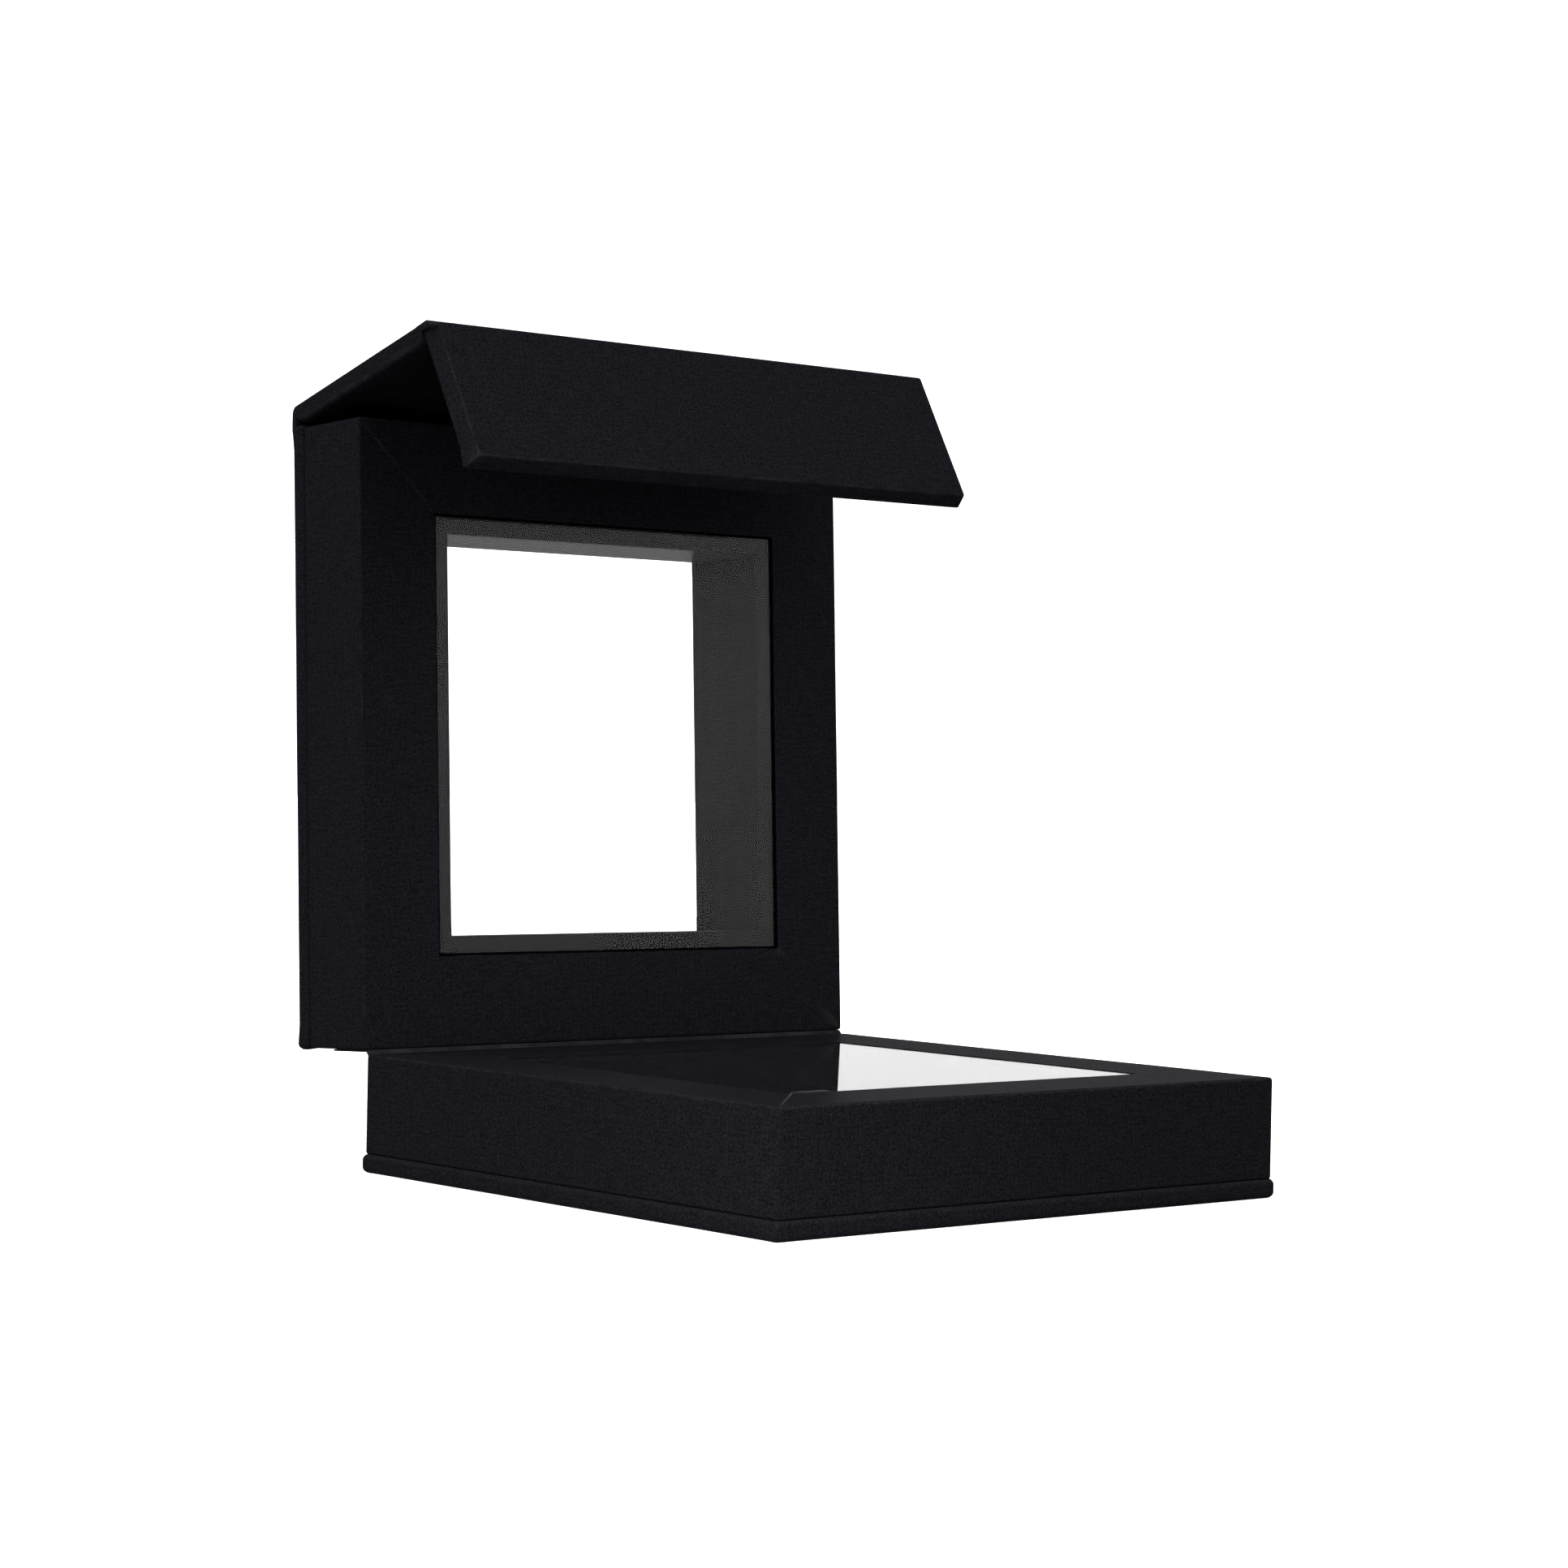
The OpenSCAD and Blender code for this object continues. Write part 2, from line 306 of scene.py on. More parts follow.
# %% [markdown]
# The floor is white too, but it is kept out of the bounced light, as a photographer does with black
# card. The eye sees a plain white shell on every side. The shell gives no light and no shade, so
# the dome lights the case right through it.

# %% Floor and shell
FLOOR_SIZE = 12.0
SHELL_R = 0.45 * FLOOR_SIZE
PALE_GREY = (0.8, 0.8, 0.8, 1)
FLOOR_ROUGH = 0.9
floor_mesh = bpy.data.meshes.new("floor")
reach = FLOOR_SIZE / 2
corners = [(x * reach, y * reach, 0) for x, y in ((-1, -1), (1, -1), (1, 1), (-1, 1))]
floor_mesh.from_pydata(corners, [], [(0, 1, 2, 3)])
floor = put("floor", floor_mesh)
floor_finish, _, paint = new_finish("pale_floor")
fill(paint, {"Base Color": PALE_GREY, "Roughness": FLOOR_ROUGH, "Specular IOR Level": 0.0})
fill(paint, {"Emission Color": WHITE, "Emission Strength": 1.0})
floor_mesh.materials.append(floor_finish)
floor.visible_diffuse = False
floor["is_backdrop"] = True

shell_form = bmesh.new()
bmesh.ops.create_uvsphere(shell_form, u_segments=48, v_segments=24, radius=SHELL_R)
shell_mesh = bpy.data.meshes.new("white_shell")
shell_form.to_mesh(shell_mesh)
shell_form.free()
shell_mesh.materials.append(floor_finish)
shell = put("white_shell", shell_mesh)
for kind in ("diffuse", "glossy", "shadow", "volume_scatter"):
    setattr(shell, f"visible_{kind}", False)
shell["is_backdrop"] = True
print(f"floor {FLOOR_SIZE:.0f} m wide, shell {2 * SHELL_R:.1f} m wide")

# %% [markdown]
# Bookcloth is a fine plain weave with a starched, slightly waxy face. Three things make it read as
# cloth: the knuckles where threads cross, slubs where a thread is thick, and a dusty lighter look
# along the edges, where hands rub it. Image textures could do this, but nodes keep it sharp at any
# distance. The weave follows a UV map in millimetres, so the thread count is real on every piece.

# %% Noise, mixes and relief
WEAVE = "weave"
MIX_A, MIX_B, MIX_RESULT = 6, 7, 2


def mixed(tree, share, a, b):
    """A colour between a and b. The Mix node has other sockets for numbers, so these are counted."""
    node = add_node(tree, "ShaderNodeMix", data_type="RGBA")
    feed(tree, node.inputs[0], share)
    feed(tree, node.inputs[MIX_A], a)
    feed(tree, node.inputs[MIX_B], b)
    return node.outputs[MIX_RESULT]


def grain(tree, place, stretch, detail=2.0):
    """Noise whose three directions are stretched apart, in features per unit of place."""
    scaled = add_node(tree, "ShaderNodeVectorMath", operation="MULTIPLY")
    feed(tree, scaled.inputs[0], place)
    scaled.inputs[1].default_value = stretch
    node = add_node(tree, "ShaderNodeTexNoise")
    feed(tree, node.inputs["Vector"], scaled.outputs[0])
    fill(node, {"Scale": 1.0, "Detail": detail})
    return node.outputs["Fac"]


def emboss(tree, shader, height, distance, strength):
    """Lets a height, with its full rise in metres, tilt the light on a surface."""
    bump = add_node(tree, "ShaderNodeBump")
    fill(bump, {"Strength": strength, "Distance": distance})
    feed(tree, bump.inputs["Height"], height)
    feed(tree, shader.inputs["Normal"], bump.outputs["Normal"])


print("finish helpers ready, weave map:", WEAVE)

# %% [markdown]
# Two crossed sine waves make the threads: where both are high, a knuckle stands out. Noise that is
# stretched along each thread makes the slubs, and finer noise the fuzz. Two marks on each piece's
# points steer the rest: one turns the cloth grey, for wear and for a painted highlight, and the
# other turns it nearly black, as painted shade.

# %% Woven cloth
THREAD_PITCH = 0.42
SLUB_ALONG = 0.3
SLUB_ACROSS = 2.2
SLUB_TONE = (-0.5, 0.9)
SLUB_HEIGHT = (-0.8, 0.8)
FUZZ = (2.6, 2.6, 1)
FUZZ_DETAIL = 3.0
FUZZ_TONE = (-1.0, 1.6)
FUZZ_RUB = (0.1, 0.9)
FUZZ_ROUGH = (0.28, 0.4)
WEAVE_RELIEF = 0.00004
WEAVE_STRENGTH = 0.7
PAINTED_SHADE_BLACK = (0.0008, 0.0008, 0.0010, 1)


def woven(name, ground, thread, worn, gloss, threads):
    """Cloth with crossing threads, slubs, rubbed edges, a painted highlight and painted shade."""
    material, tree, shader = new_finish(name)
    place = add_node(tree, "ShaderNodeUVMap", uv_map=WEAVE).outputs["UV"]
    split = add_node(tree, "ShaderNodeSeparateXYZ")
    feed(tree, split.inputs[0], place)
    waves = []
    for k in (0, 1):
        turns = worked_out(tree, "MULTIPLY", split.outputs[k], math.pi / THREAD_PITCH)
        waves.append(worked_out(tree, "SINE", turns))
    knuckles = worked_out(tree, "ABSOLUTE", worked_out(tree, "MULTIPLY", *waves))
    warp = grain(tree, place, (SLUB_ACROSS, SLUB_ALONG, 1))
    weft = grain(tree, place, (SLUB_ALONG, SLUB_ACROSS, 1))
    slubs = worked_out(tree, "MULTIPLY", worked_out(tree, "ADD", warp, weft), 0.5)
    fuzz = grain(tree, place, FUZZ, FUZZ_DETAIL)

    tone = worked_out(tree, "ADD", ranged(tree, slubs, *SLUB_TONE), ranged(tree, fuzz, *FUZZ_TONE))
    clamped = worked_out(tree, "MINIMUM", worked_out(tree, "MAXIMUM", tone, 0.0), 1.0)
    # The grey mix stands for wear, and on the base's loose hem for a painted highlight.
    wear_and_highlight_mark = add_node(tree, "ShaderNodeAttribute", attribute_name="wear_and_highlight").outputs["Fac"]
    wear_and_highlight_share = worked_out(tree, "MULTIPLY", wear_and_highlight_mark, ranged(tree, fuzz, *FUZZ_RUB))
    unshaded = mixed(tree, wear_and_highlight_share, mixed(tree, clamped, ground, thread), worn)
    # Painted shade: where this mark is set, the colour goes to near black.
    shade_mark = add_node(tree, "ShaderNodeAttribute", attribute_name="painted_shade").outputs["Fac"]
    feed(tree, shader.inputs["Base Color"], mixed(tree, shade_mark, unshaded, PAINTED_SHADE_BLACK))
    feed(tree, shader.inputs["Roughness"], ranged(tree, fuzz, *FUZZ_ROUGH))
    shader.inputs["Specular IOR Level"].default_value = gloss

    raised = worked_out(tree, "MULTIPLY", knuckles, threads)
    height = worked_out(tree, "ADD", raised, ranged(tree, slubs, *SLUB_HEIGHT))
    emboss(tree, shader, height, WEAVE_RELIEF, WEAVE_STRENGTH)
    return material


# Its worn grey also paints the highlight on the base's loose hem and the seam beside it.
BOOKCLOTH = woven(
    "black_bookcloth",
    ground=(0.0036, 0.0037, 0.0048, 1),
    thread=(0.0115, 0.0115, 0.0144, 1),
    worn=(0.100, 0.099, 0.104, 1),
    gloss=0.0003,
    threads=1.0,
)
LINING = woven(
    "flap_lining",
    ground=(0.0038, 0.0038, 0.0050, 1),
    thread=(0.0095, 0.0094, 0.0121, 1),
    worn=(0.060, 0.060, 0.064, 1),
    gloss=0.0003,
    threads=1.0,
)
WELL_CLOTH = woven(
    "charcoal_liner",
    ground=(0.0060, 0.0060, 0.0064, 1),
    thread=(0.0124, 0.0124, 0.0131, 1),
    worn=(0.036, 0.036, 0.038, 1),
    gloss=0.0008,
    threads=0.15,
)
print("cloth finishes:", BOOKCLOTH.name, LINING.name, WELL_CLOTH.name)

# %% [markdown]
# The film is a clear, stretchy sheet, a fifth of a millimetre thick. Looked at squarely it almost
# vanishes, and looked at along its surface it becomes a mirror. A glass shader on the thin sheet
# gives both. Faint smears in the roughness keep the mirror from being perfect, and a very small
# part that isn't clear stands for dust.

# %% Clear film
FILM_IOR = 1.125
FILM_CLEAR = 0.998
SMEARS = (60, 140, 60)
SMEAR_DETAIL = 3.0
SMEAR_ROUGH = (0.0, 0.015)


def clear_film():
    """Glossy clear sheet with faint smears."""
    material, tree, shader = new_finish("clear_film")
    place = add_node(tree, "ShaderNodeTexCoord").outputs["Object"]
    smears = grain(tree, place, SMEARS, SMEAR_DETAIL)
    fill(shader, {"Base Color": WHITE, "Transmission Weight": FILM_CLEAR, "IOR": FILM_IOR})
    feed(tree, shader.inputs["Roughness"], ranged(tree, smears, *SMEAR_ROUGH))
    return material


FILM = clear_film()
print("film finish:", FILM.name)

# %% [markdown]
# Inside the cloth are boards pressed from waste paper, with fibres and dark flecks, and four small
# nickel-plated magnets. They can't be seen on a finished case, but they show in a cut-away.

# %% Greyboard and magnets
FIBRES = (300, 900, 900)
FIBRE_DETAIL = 4.0
FIBRE_RELIEF = 0.0001
FIBRE_STRENGTH = 0.5
PULP_DARK = (0.22, 0.2, 0.175, 1)
PULP_LIGHT = (0.36, 0.335, 0.3, 1)
FLECKS = (1500, 1500, 1500)
FLECK_SHARE = (-2.2, 2.0)
FLECK_BROWN = (0.1, 0.09, 0.08, 1)
BOARD_ROUGH = (0.8, 0.98)
SCRATCHES = (4000, 250, 250)
NICKEL_DARK = (0.5, 0.49, 0.47, 1)
NICKEL_LIGHT = (0.72, 0.71, 0.69, 1)
NICKEL_ROUGH = (0.18, 0.4)


def greyboard():
    """Pressed paper board with fibres and flecks."""
    material, tree, shader = new_finish("greyboard")
    place = add_node(tree, "ShaderNodeTexCoord").outputs["Object"]
    fibres = grain(tree, place, FIBRES, FIBRE_DETAIL)
    flecks = ranged(tree, grain(tree, place, FLECKS, 1.0), *FLECK_SHARE)
    pulp = mixed(tree, fibres, PULP_DARK, PULP_LIGHT)
    feed(tree, shader.inputs["Base Color"], mixed(tree, flecks, pulp, FLECK_BROWN))
    feed(tree, shader.inputs["Roughness"], ranged(tree, fibres, *BOARD_ROUGH))
    emboss(tree, shader, fibres, FIBRE_RELIEF, FIBRE_STRENGTH)
    return material


def nickel():
    """Plated steel with fine scratches."""
    material, tree, shader = new_finish("magnet_steel")
    place = add_node(tree, "ShaderNodeTexCoord").outputs["Object"]
    scratches = grain(tree, place, SCRATCHES)
    feed(tree, shader.inputs["Base Color"], mixed(tree, scratches, NICKEL_DARK, NICKEL_LIGHT))
    feed(tree, shader.inputs["Roughness"], ranged(tree, scratches, *NICKEL_ROUGH))
    shader.inputs["Metallic"].default_value = 1.0
    return material


BOARD = greyboard()
MAGNET = nickel()
for name, node in frame["nodes"].items():
    node.data.materials.clear()
    node.data.materials.append(MAGNET if "magnets" in name else BOARD)
print("inner pieces finished:", len(frame["nodes"]))

# %% [markdown]
# Every cloth piece here is a loft: a row of points is repeated along a path and neighbouring rows
# are joined by quads. Blender could bevel a box instead, but a loft lets each row have its own
# shape, so seams, puffed corners and folds are there in the mesh and not only painted on.
# `ring` draws one row: a rectangle with round corners and the same number of points every time.

# %% Rows of points
CORNER_STEPS = 8


def arc(centre, radius, start, stop, steps):
    """Points along an arc in a flat section, with its angles in degrees."""
    angles = [math.radians(start + (stop - start) * k / steps) for k in range(steps + 1)]
    return [(centre[0] + radius * math.cos(a), centre[1] + radius * math.sin(a)) for a in angles]


def between(start, stop, steps):
    """Evenly spread numbers, both ends included."""
    return [start + (stop - start) * k / steps for k in range(steps + 1)]


def ring(low, high, radius, steps, close=None):
    """A rectangle with round corners, anticlockwise from the right-hand end of its far corner.

    The radius is one number or four. With close, a point is added that near to each corner.
    """
    radii = radius if isinstance(radius, tuple) else (radius,) * 4
    spots = (
        (high[0], high[1], -1, -1),
        (low[0], high[1], 1, -1),
        (low[0], low[1], 1, 1),
        (high[0], low[1], -1, 1),
    )
    corners = []
    for k, (x, y, inward_x, inward_y) in enumerate(spots):
        centre = (x + inward_x * radii[k], y + inward_y * radii[k])
        corners.append(arc(centre, radii[k], 90 * k, 90 * k + 90, CORNER_STEPS))
    loop = []
    for k, corner in enumerate(corners):
        here, there = Vector(corner[-1]), Vector(corners[(k + 1) % 4][0])
        shares = [n / steps[k % 2] for n in range(1, steps[k % 2])]
        if close:
            near = close / (there - here).length
            shares = [near, *shares, 1 - near]
        loop += corner + [tuple(here.lerp(there, share)) for share in shares]
    return loop


def loft(rows, capped=False):
    """Points and quads of rows that are closed loops, with flat ends if capped."""
    count = len(rows[0])
    points = [point for row in rows for point in row]
    faces = []
    for r in range(len(rows) - 1):
        for c in range(count):
            d = (c + 1) % count
            faces.append((r * count + c, r * count + d, (r + 1) * count + d, (r + 1) * count + c))
    if capped:
        last = (len(rows) - 1) * count
        faces += [tuple(reversed(range(count))), tuple(range(last, last + count))]
    return points, faces


print("points in a ring of 4 by 2 steps:", len(ring((0, 0), (2, 1), 0.1, (4, 2))))

# %% [markdown]
# `dress` turns points into a finished cloth piece. It lays the weave along the flat sides, marks
# the rubbed edges, and swells the cloth very slightly here and there, because paste and board are
# never quite even. Edges are found from the normals: a point that faces none of the three main
# directions of its own panel lies on an edge. A piece that is drawn with both its sides is dressed
# as a `SLAB`, and any other gets the thickness of the cloth from a modifier.

# %% From points to a cloth piece
RELIEF = 0.05
RELIEF_SPACING = 11.0
EDGE_LEAN = 1 - math.sqrt(0.5)
WEAR_SPREAD = 0.35
EDGE_WEAR = 0.18
PATCH_SIZE = 2.5
PATCH_CONTRAST = 1.5
MERGE_WITHIN = 1e-5
SLAB = {"closed": True, "skin": False}


def lay_weave(mesh):
    """A UV map in millimetres, flat on whichever way each face looks."""
    weave = mesh.uv_layers.new(name=WEAVE)
    for face in mesh.polygons:
        way = max(range(3), key=lambda k: abs(face.normal[k]))
        a, b = [k for k in range(3) if k != way]
        for corner in face.loop_indices:
            place = mesh.vertices[mesh.loops[corner].vertex_index].co
            weave.data[corner].uv = (place[a], place[b])


def patchy(spot):
    """How much a place is rubbed: twice as much in some patches, and not at all in others."""
    return max(0.0, 1 + PATCH_CONTRAST * noise.noise(spot / PATCH_SIZE))


def plain_marks(spot, worn, share=1.0):
    """The marks of a plain piece: a share of the wear found on its edges, and no painted shade."""
    return share * worn, 0.0


def rub_and_swell(mesh, relief, marks):
    """Marks worn edges, adds the piece's own marks and lifts the cloth unevenly off its board."""
    normals = [v.normal.copy() for v in mesh.vertices]
    leans = [min(1.0, (1 - max(abs(x) for x in n)) / EDGE_LEAN) for n in normals]
    worn = [EDGE_WEAR * lean * patchy(v.co) for lean, v in zip(leans, mesh.vertices)]
    spread = list(worn)
    for edge in mesh.edges:
        a, b = edge.vertices
        spread[a] = max(spread[a], WEAR_SPREAD * worn[b])
        spread[b] = max(spread[b], WEAR_SPREAD * worn[a])
    wear_and_highlight = mesh.attributes.new("wear_and_highlight", "FLOAT", "POINT")
    painted_shade = mesh.attributes.new("painted_shade", "FLOAT", "POINT")
    for v, n in zip(mesh.vertices, normals):
        wear_and_highlight.data[v.index].value, painted_shade.data[v.index].value = marks(v.co, spread[v.index])
        v.co += n * relief * (0.5 + 0.5 * noise.noise(v.co / RELIEF_SPACING))


def dress(name, shape, place, finish, relief=RELIEF, closed=False, skin=True, marks=plain_marks):
    """A cloth piece made of points in its body's own frame."""
    mesh = bpy.data.meshes.new(name)
    mesh.from_pydata(shape[0], [], shape[1])
    if closed:
        solid = bmesh.new()
        solid.from_mesh(mesh)
        bmesh.ops.remove_doubles(solid, verts=solid.verts, dist=MERGE_WITHIN)
        bmesh.ops.recalc_face_normals(solid, faces=solid.faces)
        solid.to_mesh(mesh)
        solid.free()
    mesh.update()
    lay_weave(mesh)
    rub_and_swell(mesh, relief, marks)
    mesh.transform(place)
    if place.determinant() < 0:
        mesh.flip_normals()
    mesh.shade_smooth()
    mesh.materials.append(finish)
    piece = put(name, mesh)
    if skin:
        thicken = piece.modifiers.new("cloth_thickness", "SOLIDIFY")
        thicken.thickness = CLOTH_T * MM
        thicken.offset = -1
        piece.modifiers.new("even_shading", "WEIGHTED_NORMAL").keep_sharp = True
    return piece


print(f"cloth {CLOTH_T} mm thick, swollen by up to {RELIEF} mm")

# %% [markdown]
# The frame cloth is one sheet pulled up the four walls, over the face and into the window. Its
# corners are cut and lapped on the face, which leaves a thin slanting seam at each corner, and the
# strip that lies on top stands a little higher beside the seam. At the hinge side the cut was made
# by hand and bows. The base's hem has come loose at the front left and curls up. The lid has a dent
# opposite, so that the halves still shut. A sculpting brush could do this, but moving the points by
# rule puts each seam where the cut is.

# %% Seams and hems of the frame cloth
LOOSE_HALF = "base"
SEAM_LIFT = 0.06
SEAM_FADE = 3.5
SEAM_RAMP = 3
SEAM_BOW = 0.9
BOW_REACH = 6
HAIR = 0.001
RUBBED_HEM = 6.5
HEM_START = -0.2
HEM_DEPTH = 0.1
HEM_W = 1.2
HEM_CURL = 0.3
HEM_DENT = 0.27
DENT_SPARE = 2.0


def on_rubbed_hem(x, y, inset, spare):
    """Whether a point is on the part of the front hem that has come up, or within spare of it."""
    along = x + FRAME_W / 2 - FACE_MARGIN
    on_hem = inset > FACE_MARGIN - HEM_W - spare
    at_left = HEM_START - spare < along < RUBBED_HEM + spare
    beside_front = y < FACE_MARGIN + HEM_DEPTH - FRAME_H
    return on_hem and at_left and beside_front


def lapped(x, y, z, inset, half):
    """A face point, moved by the seams at the corners and by the loose hem."""
    from_side = FRAME_W / 2 - abs(x)
    from_end = min(-y, y + FRAME_H)
    off_seam = (from_side - from_end) / math.sqrt(2)
    share = max(0.0, math.sin(math.pi * min(1.0, inset / FACE_MARGIN)))
    lift = SEAM_LIFT * math.exp(-off_seam / SEAM_FADE) if off_seam > HAIR else 0.0
    if half == LOOSE_HALF and on_rubbed_hem(x, y, inset, 0.0):
        z += HEM_CURL
    if half != LOOSE_HALF and on_rubbed_hem(x, y, inset, DENT_SPARE):
        z = min(z, HALF_D - HEM_DENT)
    bow = 0.0
    if y > -FRAME_H / 2:
        bow = SEAM_BOW * share * math.exp(-((off_seam / BOW_REACH) ** 2)) / math.sqrt(2)
    return x + math.copysign(bow, x), y - bow, z + lift * min(1.0, SEAM_RAMP * share)


print(f"loose hem of the {LOOSE_HALF}: {RUBBED_HEM} mm long, {HEM_CURL} mm high")

# %% [markdown]
# The lid's window gets a nearly black outline of painted shade along the cut edge of the cloth, and
# the foot of the walls a dark line of painted shade. Hands rub the arrises and the seams. The loose
# hem and the seam beside it are lightened most, as a painted highlight, with the same grey. Both
# marks are on the points, so they follow the shape.

# %% Wear, painted highlight and painted shade on the frame cloth
ARRIS_R = 0.55
ARRIS_WEAR = 0.35
SEAM_LINE = 0.3
SEAM_WEAR = 0.1
LOOSE_HEM_HIGHLIGHT = 0.7
CURLED = 0.7 * HEM_CURL
HEM_SHADE_FROM = {"base": 0.05, "lid": -0.22}
FOOT_LIFT = 0.1
FOOT_SHADE = 0.7
FOOT_SHADE_REACH = 0.3


def frame_marks(spot, worn, half):
    """Wear, painted highlight and painted shade at a point of the frame cloth."""
    from_side = spot.x + FRAME_W / 2
    from_end = spot.y + FRAME_H
    inset = min(from_side, from_end, FRAME_W - from_side, FRAME_H - from_end)
    # Painted shade: the cut edge round the window goes nearly black.
    if inset > FACE_MARGIN + HEM_SHADE_FROM[half]:
        return 0.0, 1.0
    # Painted shade in the groove along the foot of the walls.
    if spot.z < COVER_TOP + FOOT_LIFT + FOOT_SHADE_REACH:
        return 0.0, FOOT_SHADE
    if spot.z < HALF_D - ARRIS_R:
        return 0.0, 0.0
    # Painted highlight: the curled part of the loose hem is lightened with the worn grey.
    if spot.z > HALF_D + CURLED:
        return LOOSE_HEM_HIGHLIGHT * patchy(spot), 0.0
    if abs(from_side - from_end) < SEAM_LINE and inset > ARRIS_R:
        # Painted highlight on the seam beside the loose hem.
        if half == LOOSE_HALF and max(spot.x, spot.y + FRAME_H / 2) < 0:
            return LOOSE_HEM_HIGHLIGHT * math.sqrt(inset / FACE_MARGIN), 0.0
        return SEAM_WEAR * patchy(spot), 0.0
    return ARRIS_WEAR * worn, 0.0


print(f"paste reaches {FOOT_SHADE_REACH} mm up from the foot of the walls")

# %% [markdown]
# The loft follows the cloth from the foot of the wall, over the arris and across the face to the
# film. On the base the film lies almost level with the face, so that hem is thin and ends against
# it. On the lid the film lies deeper, and the raw edge of the cloth is turned out on it.

# %% Frame cloth round each half
EDGE_R = 0.55
LEAST_R = 0.1
HEM_R = {"base": 0.06, "lid": 0.25}
HEM_ROWS = (1.2, 0.7, 0.2)
HEM_FOOT = 0.02
RAW_EDGE = 0.2
FOOT_R = 0.4
SIDE_STEPS = (36, 36)
FOOT_STEPS, WALL_STEPS, ARRIS_STEPS, FACE_STEPS, HEM_STEPS = 5, 6, 7, 9, 6


def frame_cloth(half):
    """Rows of a half's frame cloth, from the foot of the walls to the film."""
    hem_r = HEM_R[half]
    foot = COVER_TOP + FOOT_LIFT
    outline = [(FOOT_R, foot - FOOT_R), *arc((FOOT_R, foot + FOOT_R), FOOT_R, 240, 180, FOOT_STEPS)]
    outline += [(0, z) for z in between(foot + 2 * FOOT_R, HALF_D - 1.5 * ARRIS_R, WALL_STEPS)]
    outline += arc((ARRIS_R, HALF_D - ARRIS_R), ARRIS_R, 180, 90, ARRIS_STEPS)
    face_end = FACE_MARGIN - hem_r
    across = between(1.5 * ARRIS_R, face_end - HEM_ROWS[0], FACE_STEPS)
    across += [face_end - d for d in HEM_ROWS[1:]]
    outline += [(d, HALF_D) for d in across]
    outline += arc((face_end, HALF_D - hem_r), hem_r, 90, 0, HEM_STEPS)
    outline += [(FACE_MARGIN, film_high.z + HEM_FOOT)]
    if half != LOOSE_HALF:
        outline += [(FACE_MARGIN + RAW_EDGE, film_high.z + HEM_FOOT)]
    rows = []
    for inset, z in outline:
        low = (inset - FRAME_W / 2, inset - FRAME_H)
        high = (FRAME_W / 2 - inset, -inset)
        loop = ring(low, high, max(EDGE_R - inset, LEAST_R), SIDE_STEPS, close=SEAM_LINE)
        on_face = ARRIS_R < inset and z > HALF_D - hem_r
        rows.append([lapped(x, y, z, inset, half) if on_face else (x, y, z) for x, y in loop])
    return loft(rows)


halves = {"base": BASE, "lid": LID}
for half, place in halves.items():
    marks = functools.partial(frame_marks, half=half)
    cloth = dress(f"{half}_frame_cover", frame_cloth(half), place, BOOKCLOTH, marks=marks)
    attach(cloth, half)
    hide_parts(f"{half}_frame_cloth")
    print(cloth.name, "points:", len(cloth.data.vertices))

# %% [markdown]
# The outer covers are boards with the cloth turned over all four edges, so their edges are round
# and they stand out a little past the walls. The turned-in cloth makes the rim fuller than the
# board, and the groove between the rim and the walls is the fine dark line along their foot. Where
# the cloth is folded at a corner it is several layers thick, so the corners puff out and crease.
# At the front they puff less, because the flap has to pass. A cover lies flat and is hardly rubbed.

# %% Cloth round the outer covers
WINDOW_EDGE_R = 0.45
LINER_T = 1.0
COVER_EDGE_R = 1.0
COVER_CORNER_R = 1.15
COVER_HALF = FRAME_W / 2 + OVERHANG
COVER_FRONT = -FRAME_H - OVERHANG
COVER_MARGIN = COVER_HALF - CLEAR_HALF - LINER_T
REAR_SHARE = (COVER_MARGIN - OVERHANG) / COVER_MARGIN
RIM_FULL = 0.2
PUFF = 0.5
PUFF_REACH = 2.0
FLAP_ROOM = 0.15
CREASE = 0.14
CREASE_W = 0.16
CREASE_SHIFT = 0.2
COVER_WEAR = 0.3
COVER_LEAST_R = 0.12
WRAP_SHORT = 0.05
FLAT_FROM = 0.5
FLAT_TO = 0.4
TURN_IN = 0.8
WINDOW_EDGE_STEPS, FLAT_STEPS, RIM_STEPS = 6, 9, 7


def cover_loop(inset, radius, steps):
    """A cover's outline, drawn in by an inset: less at the hinge, where it doesn't overhang."""
    low = (inset - COVER_HALF, inset + COVER_FRONT)
    return ring(low, (COVER_HALF - inset, -inset * REAR_SHARE), radius, steps)


def puffed(x, y, z):
    """A point near a corner of a cover, pushed out and creased by the folded cloth."""
    from_side = COVER_HALF - abs(x)
    from_end = min(-y, y - COVER_FRONT)
    nearness = math.exp(-(((from_side + from_end) / PUFF_REACH) ** 2))
    crease = CREASE * math.exp(-(((from_side - from_end - CREASE_SHIFT) / CREASE_W) ** 2))
    push = nearness * (PUFF - crease) / math.sqrt(2)
    outward = 1 if y > COVER_FRONT / 2 else -FLAP_ROOM
    return x + math.copysign(push, x), y + outward * push, z


